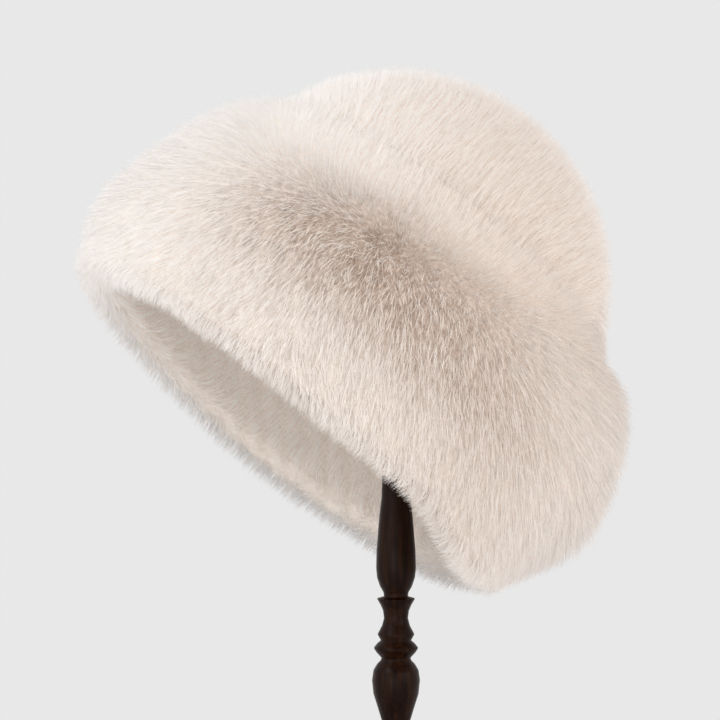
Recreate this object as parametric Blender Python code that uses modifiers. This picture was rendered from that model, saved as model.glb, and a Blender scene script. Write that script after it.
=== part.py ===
"""A deep fur hat with a soft turned-down brim, resting on a turned wooden hat stand.

Metres, +Z up. The origin is the centre of the stand's foot, and the front faces -Y.
The crown is a dome. Its centre lies on the stand's axis, and the stand's cap is a part of the
same sphere, so the hat rests on the cap at any lean. The hat's own frame has its origin at
that centre and +Z up through the crown. Each fur piece is a thin backing with locks raised
from it.
"""

import functools
import math
import random

import bmesh
import bpy
from mathutils import Vector

# The walls and the fur
HEAD_RADIUS = 0.092
PELT = 0.002
CROWN_FUR = 0.0142
BRIM_FUR = 0.0156
UNDER_FUR = 0.0075
CLEARANCE = 0.0004

# The crown meets the brim at the seam. The fur parts there along one slanted line.
SEAM_HEIGHT = 0.022
SEAM_PARTING = math.radians(50)

# The brim's pelt, measured from the seam
BRIM_REACH = 0.046
BRIM_DEPTH = 0.104

# How the hat sits on the stand
LEAN_RIGHT = math.radians(37.5)
LEAN_BACK = math.radians(11.7)
CENTRE_HEIGHT = 0.2915

# The stand
BASE_RADIUS = 0.080
BASE_THICKNESS = 0.020
POST_RADIUS = 0.012
CAP_RADIUS = 0.050
CAP_RIM = 0.008
SEAT_CLEARANCE = 0.0003

# How finely the pieces are faceted. The brim has as many columns as the crown has squares round
# its edge, so that the two meet facet to facet.
CROWN_SQUARES = 10
BRIM_COLUMNS = 4 * CROWN_SQUARES
OVER_ROWS = 6
WRAP_ROWS = 3
TURNED_STEPS = 18
CAP_ROWS = 6

# The brim's shape all round. Turn is degrees from the front towards the wearer's left, which is
# the right of a front view. Reaches are shares of BRIM_REACH, drops are shares of BRIM_DEPTH.
# Columns: turn, shoulder_reach, shoulder_drop, bulge_reach, bulge_drop, hem_reach, hem_drop.
BRIM_SECTIONS = (
    (0, 0.27, 0.21, 0.60, 0.52, 0.44, 1.02),
    (35, 0.33, 0.21, 0.68, 0.52, 0.55, 1.02),
    (58, 0.45, 0.19, 0.82, 0.56, 0.67, 1.09),
    (90, 0.62, 0.11, 1.00, 0.60, 0.65, 0.99),
    (135, 0.58, 0.10, 0.88, 0.58, 0.64, 1.02),
    (180, 0.50, 0.13, 0.80, 0.60, 0.64, 1.04),
    (225, 0.47, 0.18, 0.84, 0.62, 0.70, 0.99),
    (270, 0.47, 0.19, 0.78, 0.72, 0.64, 0.97),
    (315, 0.31, 0.21, 0.67, 0.57, 0.54, 0.99),
)

# The turned post, from its foot to its top: height as a share of the post's length, radius as a
# share of POST_RADIUS.
# Columns: height, radius.
POST_TURNINGS = (
    (0.000, 1.60), (0.010, 1.55), (0.022, 0.92), (0.042, 0.60), (0.066, 0.52), (0.076, 0.78),
    (0.086, 0.90), (0.096, 0.78), (0.106, 0.50), (0.130, 0.51), (0.159, 0.60), (0.181, 0.79),
    (0.198, 0.94), (0.218, 1.00), (0.233, 0.94), (0.242, 0.79), (0.247, 0.65), (0.251, 0.60),
    (0.260, 0.83), (0.266, 0.93), (0.273, 0.77), (0.277, 0.63), (0.286, 0.77), (0.299, 0.58),
    (0.310, 0.50), (0.321, 0.54), (0.330, 0.65), (0.339, 0.80), (0.342, 0.50), (0.348, 0.52),
    (0.357, 0.67), (0.370, 0.79), (0.384, 0.83), (0.411, 0.81), (0.463, 0.69), (0.490, 0.60),
    (0.600, 0.50), (1.000, 0.50),
)

# The base's edge, from its top inwards to its underside: radius as a share of BASE_RADIUS,
# height as a share of BASE_THICKNESS.
# Columns: radius, height.
BASE_TURNINGS = (
    (0.00, 1.00), (0.32, 1.00), (0.62, 0.92), (0.84, 0.78), (0.88, 0.66), (0.97, 0.58),
    (1.00, 0.40), (1.00, 0.18), (0.98, 0.00), (0.00, 0.00),
)

# A lock of fur: it narrows to WAIST of its root at MIDDLE of its rise, and its tip is combed
# along by COMB of the root's length. RAGGED is how much the locks differ. FUR_BODY is the
# backing's share of the fur's depth.
WAIST = 0.70
MIDDLE = 0.55
COMB = 0.55
RAGGED = 0.18
FUR_BODY = 0.55
STOP_SHORT = 0.2
LOCK_SEED = 11

# The rows of the wall that the brim's fur covers underneath, and that are left bare by the seam
UNDER_WRAP_ROWS = 1
BARE_ROWS = 1
PATH_GAP = 0.012
CURVE_STEPS = 24
SEAM_BLEND = 0.80
MERGE = 0.00005

WOOD = (0.030, 0.014, 0.007)
FUR = (0.80, 0.70, 0.61)
FUR_PALE = (0.86, 0.77, 0.70)
SKIN = (0.62, 0.52, 0.43)


def clear_scene():
    """Removes the objects that the file opened with."""
    for item in list(bpy.data.objects):
        bpy.data.objects.remove(item)


def material(name, colour, roughness):
    """One plain Principled material."""
    made = bpy.data.materials.new(name)
    made.use_nodes = True
    shader = made.node_tree.nodes["Principled BSDF"]
    shader.inputs["Base Color"].default_value = (*colour, 1.0)
    shader.inputs["Roughness"].default_value = roughness
    return made


def finish(name, bm, finish_material, collection, parent=None, smooth=True):
    """Makes the mesh an object of that name, with its material."""
    mesh = bpy.data.meshes.new(name)
    bm.to_mesh(mesh)
    bm.free()
    mesh.materials.append(finish_material)
    if smooth:
        mesh.shade_smooth()
        mesh.set_sharp_from_angle(angle=math.radians(40))
    made = bpy.data.objects.new(name, mesh)
    collection.objects.link(made)
    made.parent = parent
    return made


def smooth_step(share):
    """0 to 1 with flat ends."""
    held = min(1.0, max(0.0, share))
    return held * held * (3 - 2 * held)


def smooth_curve(before, start, end, after, share):
    """A point between start and end on the smooth curve through all four."""
    slope_in = (end - before) / 2
    slope_out = (after - start) / 2
    two, three = share * share, share**3
    return (
        start * (2 * three - 3 * two + 1)
        + slope_in * (three - 2 * two + share)
        + end * (3 * two - 2 * three)
        + slope_out * (three - two)
    )


def brim_row(turn):
    """The table's reaches and drops at that turn, in radians, smoothly between its rows."""
    degrees = math.degrees(turn) % 360
    rows = BRIM_SECTIONS
    last = len(rows) - 1
    at = max(i for i in range(len(rows)) if rows[i][0] <= degrees)
    start, end = rows[at], rows[(at + 1) % len(rows)]
    span = (end[0] if at < last else 360) - start[0]
    share = (degrees - start[0]) / span
    before, after = rows[at - 1], rows[(at + 2) % len(rows)]
    return [smooth_curve(*four, share) for four in zip(before[1:], start[1:], end[1:], after[1:])]


def seam_point():
    """Radius and height of the seam, in the middle of the wall."""
    wall = HEAD_RADIUS + PELT / 2
    return Vector((math.sqrt(wall**2 - SEAM_HEIGHT**2), SEAM_HEIGHT))


def seam_direction():
    """Which way the fur parts at the seam, as radius and height."""
    return Vector((math.cos(SEAM_PARTING), math.sin(SEAM_PARTING)))


def brim_line(turn):
    """The middle of the brim's pelt at that turn, seam to hem, as points of radius and height."""
    shoulder_reach, shoulder_drop, bulge_reach, bulge_drop, hem_reach, hem_drop = brim_row(turn)
    parting = seam_direction()
    seam = seam_point() + Vector((parting.y, -parting.x)) * CLEARANCE
    knots = [
        seam,
        seam + Vector((shoulder_reach * BRIM_REACH, -shoulder_drop * BRIM_DEPTH)),
        seam + Vector((bulge_reach * BRIM_REACH, -bulge_drop * BRIM_DEPTH)),
        seam + Vector((hem_reach * BRIM_REACH, -hem_drop * BRIM_DEPTH)),
    ]
    ends = [2 * knots[0] - knots[1], *knots, 2 * knots[-1] - knots[-2]]
    return [
        smooth_curve(*ends[at : at + 4], step / CURVE_STEPS)
        for at in range(len(knots) - 1)
        for step in range(CURVE_STEPS)
    ] + [knots[-1]]


def point_along(points, share):
    """The point at that share of the line's length, and the way that the line runs there."""
    lengths = [0.0]
    for start, end in zip(points, points[1:]):
        lengths.append(lengths[-1] + (end - start).length)
    wanted = min(1.0, max(0.0, share)) * lengths[-1]
    at = next(i for i in range(1, len(points)) if lengths[i] >= wanted or i == len(points) - 1)
    start, end = points[at - 1], points[at]
    run = (end - start).normalized()
    return start + run * (wanted - lengths[at - 1]), run


def on_turn(turn, flat):
    """A point of radius and height, stood up at that turn. Turn 0 is the front, at -Y."""
    return Vector((flat.x * math.sin(turn), -flat.x * math.cos(turn), flat.y))


@functools.cache
def brim_line_at(microturn):
    """The brim's line at that turn, in millionths of a radian, worked out once."""
    return brim_line(microturn / 1e6)


def brim_place(turn, path, depth):
    """A point on or over the brim. Path runs 0 to 1 from the seam to the hem, 1 to 2 round the hem,
    and 2 to 3 back to the seam on the underside. Depth is counted from the middle of the pelt."""
    line = brim_line_at(round(turn % (2 * math.pi) * 1e6))
    share = path if path <= 1 else 1.0 if path <= 2 else 3 - path
    middle, run = point_along(line, share)
    over = Vector((-run.y, run.x))
    blend = smooth_step(1 - share / (1 - SEAM_BLEND))
    over = over.lerp(seam_direction(), blend).normalized()
    round_hem = math.pi * min(1.0, max(0.0, path - 1))
    out = over * math.cos(round_hem) + run * math.sin(round_hem)
    return on_turn(turn, middle + out * depth)


def crown_place(across, along, depth):
    """A point on or over the crown, from a place in the unit disc. Depth is counted as above."""
    reach = math.hypot(across, along)
    turn = math.atan2(across, -along)
    polar = reach * math.acos(SEAM_HEIGHT / (HEAD_RADIUS + PELT / 2))
    out = Vector((math.sin(polar), math.cos(polar)))
    middle = out * (HEAD_RADIUS + PELT / 2)
    blend = smooth_step((reach - SEAM_BLEND) / (1 - SEAM_BLEND))
    out = out.lerp(seam_direction(), blend).normalized()
    return on_turn(turn, middle + out * depth)


def squircle(across, along):
    """A place in the square from -1 to 1 as a place in the unit disc, rings kept evenly spaced."""
    if max(abs(across), abs(along)) < 1e-9:
        return 0.0, 0.0
    if abs(across) >= abs(along):
        reach, turn = across, math.pi / 4 * along / across
        return reach * math.cos(turn), reach * math.sin(turn)
    reach, turn = along, math.pi / 4 * across / along
    return reach * math.sin(turn), reach * math.cos(turn)


def crown_sheet():
    """A grid over the crown. Layers u and v hold each vertex's place in the unit disc."""
    bm = bmesh.new()
    bmesh.ops.create_grid(bm, x_segments=CROWN_SQUARES, y_segments=CROWN_SQUARES, size=1)
    u, v = (bm.verts.layers.float.new(name) for name in "uv")
    for vert in bm.verts:
        vert[u], vert[v] = squircle(vert.co.x, vert.co.y)
    return bm


def brim_sheet(paths):
    """A closed ring of rows at those paths. Layers u and v hold each vertex's turn and path."""
    bm = bmesh.new()
    bmesh.ops.create_grid(bm, x_segments=BRIM_COLUMNS, y_segments=len(paths) - 1, size=1)
    u, v = (bm.verts.layers.float.new(name) for name in "uv")
    for vert in bm.verts:
        row = round((vert.co.y + 1) / 2 * (len(paths) - 1))
        column = round((vert.co.x + 1) / 2 * BRIM_COLUMNS) % BRIM_COLUMNS
        vert[u] = 2 * math.pi * column / BRIM_COLUMNS
        vert[v] = paths[row]
        vert.co = Vector((math.sin(vert[u]), math.cos(vert[u]), row))
    bmesh.ops.remove_doubles(bm, verts=bm.verts, dist=MERGE)
    return bm


def thicken(bm, place, inner, outer):
    """Makes the sheet a closed wall from the depth inner to the depth outer, which may vary with
    the layers u and v, and returns the wall's outside faces. place gives the points."""
    u, v = (bm.verts.layers.float[name] for name in "uv")
    sheet = list(bm.verts)
    grown = bmesh.ops.extrude_face_region(bm, geom=list(bm.faces), use_keep_orig=True)["geom"]
    skin = {item for item in grown if isinstance(item, bmesh.types.BMVert)}
    for vert in sheet:
        vert.co = place(vert[u], vert[v], inner)
    for vert in skin:
        vert.co = place(vert[u], vert[v], outer(vert[u], vert[v]))
    inside = [face for face in bm.faces if not any(vert in skin for vert in face.verts)]
    bmesh.ops.triangulate(bm, faces=inside, quad_method="SHORT_EDGE")
    bmesh.ops.recalc_face_normals(bm, faces=bm.faces)
    if bm.calc_volume(signed=True) < 0:
        bmesh.ops.reverse_faces(bm, faces=bm.faces)
    return [face for face in bm.faces if all(vert in skin for vert in face.verts)]


def draw_locks(bm, faces, place, foot, rise, comb, seed, waisted=True):
    """Draws a lock of fur out of each face. It is drawn in the sheet's own places and depths, so
    no lock crosses its neighbours or leaves the piece. foot and rise give the backing's depth and
    the lock's height at a place, and comb gives the tip's place from the root's and a share."""
    u, v = (bm.verts.layers.float[name] for name in "uv")
    chance = random.Random(seed)
    for face in faces:
        first = face.verts[0]
        corners = [
            Vector((first[u] + math.remainder(vert[u] - first[u], 2 * math.pi), vert[v]))
            for vert in face.verts
        ]
        root = sum(corners, Vector((0.0, 0.0))) / len(corners)
        tip_place = comb(root, 1 + RAGGED * (2 * chance.random() - 1))
        height = rise(*root) * (1 + RAGGED * (2 * chance.random() - 1))
        if waisted:
            face = bmesh.ops.extrude_discrete_faces(bm, faces=[face])["faces"][0]
            waist_place = root.lerp(tip_place, MIDDLE**2)
            depth = foot(*root) + height * MIDDLE
            for vert, corner in zip(face.verts, corners):
                vert.co = place(*(waist_place + (corner - root) * WAIST), depth)
        tip = bmesh.ops.poke(bm, faces=[face])["verts"][0]
        tip.co = place(*tip_place, foot(*root) + height)


def pelt_layer():
    """Depth from the middle of the pelt to where the fur's backing begins."""
    return PELT / 2 + CLEARANCE


def crown_comb(root, share):
    """The crown's fur is combed down towards the seam, and stops short of it."""
    step = 2 / CROWN_SQUARES
    reach = min(root.length + step * COMB * share, 1 - step * STOP_SHORT)
    return root.normalized() * reach


def brim_comb(end):
    """The brim's fur is combed away from the seam, and stops short of the path's end."""

    def combed(root, share):
        step = 1 / OVER_ROWS
        return Vector((root.x, min(root.y + step * COMB * share, end - step * STOP_SHORT)))

    return combed


def crown_shell(collection, parent, skin):
    """The crown's wall, a dome open at the seam."""
    bm = crown_sheet()
    outside = thicken(bm, crown_place, -PELT / 2, lambda *at: PELT / 2)
    bmesh.ops.triangulate(bm, faces=outside, quad_method="SHORT_EDGE")
    return finish("crown_shell", bm, skin, collection, parent)


def crown_fur(collection, parent, fur):
    """The crown's fur: a backing over the wall, with combed locks."""
    start = pelt_layer()

    def foot(across, along):
        return start + CROWN_FUR * FUR_BODY

    def rise(across, along):
        return CROWN_FUR * (1 - FUR_BODY)

    bm = crown_sheet()
    faces = thicken(bm, crown_place, start, foot)
    draw_locks(bm, faces, crown_place, foot, rise, crown_comb, LOCK_SEED)
    return finish("crown_fur", bm, fur, collection, parent, smooth=False)


def brim_shell(collection, parent, skin):
    """The brim's wall, from the seam to the hem."""
    bm = brim_sheet([row / OVER_ROWS for row in range(OVER_ROWS + 1)])
    outside = thicken(bm, brim_place, -PELT / 2, lambda *at: PELT / 2)
    bmesh.ops.triangulate(bm, faces=outside, quad_method="SHORT_EDGE")
    return finish("brim_shell", bm, skin, collection, parent)


def under_start():
    """The path at which the brim's fur ends, and the shorter fur of the underside begins."""
    return 2 + UNDER_WRAP_ROWS / OVER_ROWS


def brim_fur(collection, parent, fur):
    """The brim's fur, over the brim and round its hem, thinner where it ends underneath."""
    start = pelt_layer()

    def depth(path):
        under = smooth_step((path - 1.5) / (under_start() - 1.5))
        return BRIM_FUR + (UNDER_FUR - BRIM_FUR) * under

    def foot(turn, path):
        return start + depth(path) * FUR_BODY

    def rise(turn, path):
        return depth(path) * (1 - FUR_BODY)

    over = [row / OVER_ROWS for row in range(OVER_ROWS)]
    wrap = [1 + row / WRAP_ROWS for row in range(WRAP_ROWS + 1)]
    under = [2 + (row + 1) / OVER_ROWS for row in range(UNDER_WRAP_ROWS)]
    bm = brim_sheet([*over, *wrap, *under])
    faces = thicken(bm, brim_place, start, foot)
    draw_locks(bm, faces, brim_place, foot, rise, brim_comb(under[-1]), LOCK_SEED + 1)
    return finish("brim_fur", bm, fur, collection, parent, smooth=False)


def under_brim_fur(collection, parent, fur):
    """The shorter fur on the brim's underside, up to the head opening."""
    start = pelt_layer()

    def foot(turn, path):
        return start + UNDER_FUR * FUR_BODY

    def rise(turn, path):
        return UNDER_FUR * (1 - FUR_BODY)

    rest = [2 + row / OVER_ROWS for row in range(UNDER_WRAP_ROWS + 1, OVER_ROWS - BARE_ROWS + 1)]
    bm = brim_sheet([under_start() + PATH_GAP, *rest])
    faces = thicken(bm, brim_place, start, foot)
    draw_locks(bm, faces, brim_place, foot, rise, brim_comb(rest[-1]), LOCK_SEED + 2, waisted=False)
    return finish("under_brim_fur", bm, fur, collection, parent, smooth=False)


def turned(name, profile, collection, wood):
    """A solid turned about +Z, from points of radius and height that run from top to bottom."""
    mesh = bpy.data.meshes.new(name)
    mesh.from_pydata(
        [(radius, 0.0, height) for radius, height in profile],
        [(at, at + 1) for at in range(len(profile) - 1)],
        [],
    )
    mesh.materials.append(wood)
    made = bpy.data.objects.new(name, mesh)
    collection.objects.link(made)
    lathe = made.modifiers.new("Lathe", "SCREW")
    lathe.steps = lathe.render_steps = TURNED_STEPS
    lathe.use_merge_vertices = True
    lathe.merge_threshold = MERGE
    lathe.use_smooth_shade = True
    return made


def seat_radius():
    """The cap's radius: the crown's inner facets dip below their sphere by the arc of half a facet."""
    facet = math.acos(SEAM_HEIGHT / (HEAD_RADIUS + PELT / 2)) / (CROWN_SQUARES / 2)
    half_diagonal = facet * math.sqrt(2) / 2
    return HEAD_RADIUS * math.cos(half_diagonal) - SEAT_CLEARANCE


def cap_underside():
    """How far above the crown's centre the cap's flat underside lies."""
    return math.sqrt(seat_radius() ** 2 - CAP_RADIUS**2) - CAP_RIM


def stand_cap(collection, wood):
    """The rounded cap that the crown rests on, a part of a sphere about the crown's centre."""
    sweep = math.asin(CAP_RADIUS / seat_radius())
    dome = [
        (seat_radius() * math.sin(sweep * row / CAP_ROWS), seat_radius() * math.cos(sweep * row / CAP_ROWS))
        for row in range(CAP_ROWS + 1)
    ]
    rim = [(CAP_RADIUS - CAP_RIM / 3, cap_underside()), (0.0, cap_underside())]
    profile = [(radius, CENTRE_HEIGHT + height) for radius, height in dome + rim]
    return turned("stand_cap", profile, collection, wood)


def stand_post(collection, wood):
    """The turned post, from the base to the cap."""
    low = BASE_THICKNESS + SEAT_CLEARANCE
    high = CENTRE_HEIGHT + cap_underside() - SEAT_CLEARANCE
    outline = [
        (radius * POST_RADIUS, low + (high - low) * height) for height, radius in reversed(POST_TURNINGS)
    ]
    return turned("stand_post", [(0.0, high), *outline, (0.0, low)], collection, wood)


def stand_base(collection, wood):
    """The round base, flat underneath."""
    profile = [(radius * BASE_RADIUS, height * BASE_THICKNESS) for radius, height in BASE_TURNINGS]
    return turned("stand_base", profile, collection, wood)


def main():
    clear_scene()
    collection = bpy.data.collections.new("fur_hat_on_stand")
    bpy.context.scene.collection.children.link(collection)

    wood = material("dark_wood", WOOD, 0.35)
    fur = material("fur", FUR, 0.9)
    pale_fur = material("fur_pale", FUR_PALE, 0.9)
    skin = material("pelt_skin", SKIN, 0.8)

    hat = bpy.data.objects.new("hat_seat", None)
    hat.location = (0.0, 0.0, CENTRE_HEIGHT)
    hat.rotation_euler = (-LEAN_BACK, LEAN_RIGHT, 0.0)
    collection.objects.link(hat)

    crown_shell(collection, hat, skin)
    crown_fur(collection, hat, pale_fur)
    brim_shell(collection, hat, skin)
    brim_fur(collection, hat, fur)
    under_brim_fur(collection, hat, fur)

    stand_cap(collection, wood)
    stand_post(collection, wood)
    stand_base(collection, wood)


main()
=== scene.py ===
"""Dresses the fur hat and its turned stand, and sets the light and the camera."""

import math

import bpy
import numpy as np
from mathutils import Euler, Matrix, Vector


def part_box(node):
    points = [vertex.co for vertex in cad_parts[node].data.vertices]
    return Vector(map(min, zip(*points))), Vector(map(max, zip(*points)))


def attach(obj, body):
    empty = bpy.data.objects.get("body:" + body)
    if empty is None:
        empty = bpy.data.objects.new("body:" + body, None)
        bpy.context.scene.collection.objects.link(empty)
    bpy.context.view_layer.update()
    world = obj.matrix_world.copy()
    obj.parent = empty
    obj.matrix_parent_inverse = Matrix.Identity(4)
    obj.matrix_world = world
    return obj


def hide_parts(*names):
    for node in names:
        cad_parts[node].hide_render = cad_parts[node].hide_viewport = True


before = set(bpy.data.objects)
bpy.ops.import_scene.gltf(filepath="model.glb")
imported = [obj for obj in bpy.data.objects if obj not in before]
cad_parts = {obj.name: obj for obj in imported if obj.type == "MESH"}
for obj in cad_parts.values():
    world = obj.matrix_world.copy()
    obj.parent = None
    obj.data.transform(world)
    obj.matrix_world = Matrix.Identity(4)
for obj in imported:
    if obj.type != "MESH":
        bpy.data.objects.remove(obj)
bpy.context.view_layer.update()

# The hat's walls and fur, as in the part
HEAD_RADIUS = 0.092
PELT = 0.002
CROWN_FUR = 0.0142
BRIM_FUR = 0.0156
UNDER_FUR = 0.0075
SEAM_HEIGHT = 0.022
SEAM_PARTING = math.radians(50)
BRIM_REACH = 0.046
BRIM_DEPTH = 0.104
LEAN_RIGHT = math.radians(37.5)
LEAN_BACK = math.radians(11.7)
CENTRE_HEIGHT = 0.2915

# The brim's shape all round: turn in degrees from the front, then the reach and drop of the
# shoulder, the bulge and the hem, as shares of BRIM_REACH and BRIM_DEPTH.
BRIM_SECTIONS = (
    (0, 0.27, 0.21, 0.60, 0.52, 0.44, 1.02),
    (35, 0.33, 0.21, 0.68, 0.52, 0.55, 1.02),
    (58, 0.45, 0.19, 0.82, 0.56, 0.67, 1.09),
    (90, 0.62, 0.11, 1.00, 0.60, 0.65, 0.99),
    (135, 0.58, 0.10, 0.88, 0.58, 0.64, 1.02),
    (180, 0.50, 0.13, 0.80, 0.60, 0.64, 1.04),
    (225, 0.47, 0.18, 0.84, 0.62, 0.70, 0.99),
    (270, 0.47, 0.19, 0.78, 0.72, 0.64, 0.97),
    (315, 0.31, 0.21, 0.67, 0.57, 0.54, 0.99),
)

# The share of the crown and of the brim, by the seam, over which their ways out of the skin meet
SEAM_BLEND = 0.2

# How finely the brim is worked out: round it, between its sections' points, and along its path
TURN_STEPS = 240
SPAN_POINTS = 25
OVER_STEPS = 72
HEM_STEPS = 24

# The stand
BASE_RADIUS = 0.080
BASE_THICKNESS = 0.020
POST_RADIUS = 0.012
CAP_RADIUS = 0.050
# The post's turnings from its foot: height as a share of its length, radius of POST_RADIUS
POST_TURNINGS = (
    (0.000, 1.60), (0.010, 1.55), (0.022, 0.92), (0.042, 0.60), (0.066, 0.52), (0.076, 0.78),
    (0.086, 0.90), (0.096, 0.78), (0.106, 0.50), (0.130, 0.51), (0.159, 0.60), (0.181, 0.79),
    (0.198, 0.94), (0.218, 1.00), (0.233, 0.94), (0.242, 0.79), (0.247, 0.65), (0.251, 0.60),
    (0.260, 0.83), (0.266, 0.93), (0.273, 0.77), (0.277, 0.63), (0.286, 0.77), (0.299, 0.58),
    (0.310, 0.50), (0.321, 0.54), (0.330, 0.65), (0.339, 0.80), (0.342, 0.50), (0.348, 0.52),
    (0.357, 0.67), (0.370, 0.79), (0.384, 0.83), (0.411, 0.81), (0.463, 0.69), (0.490, 0.60),
    (0.600, 0.50), (1.000, 0.50),
)
# The base's turnings: height as a share of BASE_THICKNESS, radius of BASE_RADIUS
BASE_TURNINGS = (
    (0.00, 0.98), (0.18, 1.00), (0.40, 1.00), (0.58, 0.97), (0.66, 0.88), (0.78, 0.84),
    (0.92, 0.62), (1.00, 0.32),
)
# The cap's rim: radius as a share of CAP_RADIUS, height over the cap's underside in metres
CAP_RIM = ((0.94, 0.0), (0.985, 0.0035))
CAP_RINGS = 16
CAP_POLE = 0.001
TURNED_SIDES = 64
STAND_BEVEL = 0.0008
POST_BEVEL = 0.0004
SHARP_TURNING = math.radians(22)
SMOOTH_TURNING = math.radians(40)

# The underfur: its share of the fur's depth, where it starts over the wall's middle, the path
# on the underside where it ends, and its lumps' size and height
UNDERFUR = 0.60
UNDERFUR_START = PELT / 2 + 0.0004
UNDERFUR_END = 2.84
CROWN_LUMPS = (0.012, 0.0007)
BRIM_LUMPS = (0.014, 0.0009)
# Round the hem the brim's fur thins to the underside's, from this path over this much of it
UNDER_THINNING = (1.0, 0.9)

# Soft lumps are a sum of this many waves, their sizes between these shares of the size asked
# for, divided by this level
LUMP_WAVES = 12
LUMP_SIZES = (0.6, 1.6)
LUMP_LEVEL = 3.5

# How far the fur's surface runs over the brim and round the hem, how much of the underside has
# hair, and about how far the brim is from the hat's axis
BRIM_LENGTH = 0.115
HEM_LENGTH = 0.030
UNDER_SHARE = 0.82
BRIM_RADIUS = 0.125

# How many hairs there are on the crown, on each quarter of the brim and on its underside
CROWN_HAIRS = 33000
BRIM_HAIRS = 25000
UNDER_HAIRS = 25000
# Steps of these two shares never fall in line, so what is placed by them is spread evenly
EVEN_STRIDES = (0.7548777, 0.5698403)
QUARTERS = {"front": (-45, 45), "right": (45, 135), "back": (135, 225), "left": (225, 315)}
HAIR_SEED = 21
UNDER_SEED = HAIR_SEED + 9

# How thick hair is, where it starts over the wall's middle, and how long it is
HAIR_WIDTH = 0.00023
WIDTH_SPREAD = (0.7, 1.3)
BROWN_THICKER = 0.9
HAIR_START = PELT / 2 + 0.001
CROWN_HAIR_LENGTH = 0.0185
SEAM_HAIR_LENGTH = 0.0165
BRIM_HAIR_LENGTH = 0.0190
HEM_HAIR_LENGTH = 0.0162
UNDER_HAIR_LENGTH = 0.0105
NOTCH_HAIR_LENGTH = 0.0115

# The brim's hair length at each path
BRIM_LENGTHS = (
    (0, SEAM_HAIR_LENGTH), (0.3, BRIM_HAIR_LENGTH), (0.75, BRIM_HAIR_LENGTH),
    (1.0, HEM_HAIR_LENGTH), (1.8, HEM_HAIR_LENGTH), (2.5, UNDER_HAIR_LENGTH),
)

# The notch of short hair at the right of the seam: its turn, half width and fade in degrees,
# and the path where it ends
NOTCH_TURN = 80
NOTCH_HALF = 32
NOTCH_FADE = 20
NOTCH_PATH = 0.25

# The crown's hair is longer by this share at the front, from this share of the way down
FOLD_LONGER = 0.12
FOLD_START = 0.6

# How uneven hair is in length: by broad lumps of that size, then from hair to hair
LENGTH_LUMPS = 0.03
CROWN_UNEVEN = (0.02, 0.06)
BRIM_UNEVEN = (0.03, 0.08)
BRUSHED_UNEVEN = 0.20

# How far hair leans from the way out of the skin at its root and its tip, in radians, and how
# much further where it is brushed up over the crown
CROWN_LEAN = (0.60, 1.05)
BRIM_LEAN = (0.42, 0.88)
BRUSHED_FURTHER = (0.22, 0.26)

# How uneven that lean is from hair to hair, and how much more so in the brown zone
CROWN_LEAN_SPREAD = 0.08
BRIM_LEAN_SPREAD = 0.10
BROWN_LEAN_SPREAD = 0.15

# How far hair is turned aside, in radians: by broad swirls of that size, then from hair to hair
SWIRL_SIZE = 0.07
CROWN_SWIRL = 0.18
BRIM_SWIRL = 0.20
STRAY = 0.14
BROWN_STRAY = 0.45

# Tufts: their hairs, their spread in metres, and how strongly each draws its tips together, up
# to a most. The front hem's pull grows between the first two of its paths and ends at the third.
HAIRS_TO_A_TUFT = 6
TUFT_SPREAD = 0.0032
CROWN_PULL = 0.10
BRIM_PULL = 0.12
BROWN_PULL = 0.60
HEM_PULL = 0.55
HEM_PULL_PATHS = (0.7, 1.0, 1.5)
MOST_PULL = 0.75

# At the front, hair hangs down with this strength from one path on, after a fade, to another
HANG = 1.2
HANG_START = 0.40
HANG_FADE = 0.25
HANG_END = 1.3

# The crown's hair is combed about this axis, and away from the front it falls over the seam from
# this share of the way down on, after a fade
CROWN_COMB_AXIS = (-1, 0, 0.15)
CROWN_FALL_START = 0.70
CROWN_FALL_FADE = 0.25
# By the crown's top, tufts spread round it as if it were this far from the top
LEAST_SINE = 0.05

# The brim's hair is combed towards the place this much further along the path, at this height
# in the fur. Hair brushed up by the seam takes its way out from this path.
COMB_STEP = 0.01
COMB_HEIGHT = 0.006
PAST_SEAM = 0.22

# Where the front's hair parts, some of it brushed up over the crown: turn in degrees, path
PARTINGS = (
    (-180, -0.40), (-110, -0.40), (-80, 0.00), (-45, 0.28), (0, 0.28), (30, 0.16), (55, 0.00),
    (75, -0.25), (100, -0.40), (180, -0.40),
)
PARTING_WIDTH = 0.10

# The front, in degrees to each side, and its fade into the sides
FRONT_HALF = 35
FRONT_FADE = 45

# The brown zone of roots: its middle, half width and fade in degrees, then its path and width of
# path. Away from its strongest turn it moves out and fades. The hem has a weaker band of painted
# shade of its own, under its hair. The skirt and the underside beneath get painted shade from one
# path on, over a fade.
BROWN_MIDDLE_TURN = 5
BROWN_HALF = 26
BROWN_FADE = 42
BROWN_PATH = 0.52
BROWN_PATH_WIDTH = 0.25
BROWN_STRONGEST_TURN = -8
BROWN_ASIDE = 45
BROWN_DRIFT = 0.12
BROWN_SHARE = 0.80
BROWN_LOSS = 0.42
HEM_PAINTED_SHADE_PATH = 1.40
HEM_PAINTED_SHADE_SHARE = 0.5
SKIRT_SHARE = 0.20
SKIRT_PATHS = (0.45, 0.3)
BENEATH_SHARE = 0.80
BENEATH_PATHS = (2.15, 0.65)
BENEATH_LIMIT = (1.2, 0.5)
# An angle of the crown above the seam counts as this much path, for the brown
CROWN_PATH = 0.8

# The fur's tone: highest at the left, lower to the right by a loss that is painted shade, from this X
# over this width
PALE_TONE = 0.80
RIGHT_SHADE_START = -0.055
RIGHT_SHADE_WIDTH = 0.11
CROWN_RIGHT_SHADE = 0.34
BRIM_RIGHT_SHADE = 0.22
RIGHT_SHADE_PATH = 0.5
TONE_SPREAD = 0.08
BROWN_TONE_SPREAD = 0.34

# How far shading leans on the way out of the skin and upwards, and the painted light that hair and
# underfur give off as a glow
SOFT_SHADING = 0.50
SHADING_LIFT = 0.5
HAIR_GLOW = 0.30
UNDERFUR_GLOW = 0.17

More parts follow.
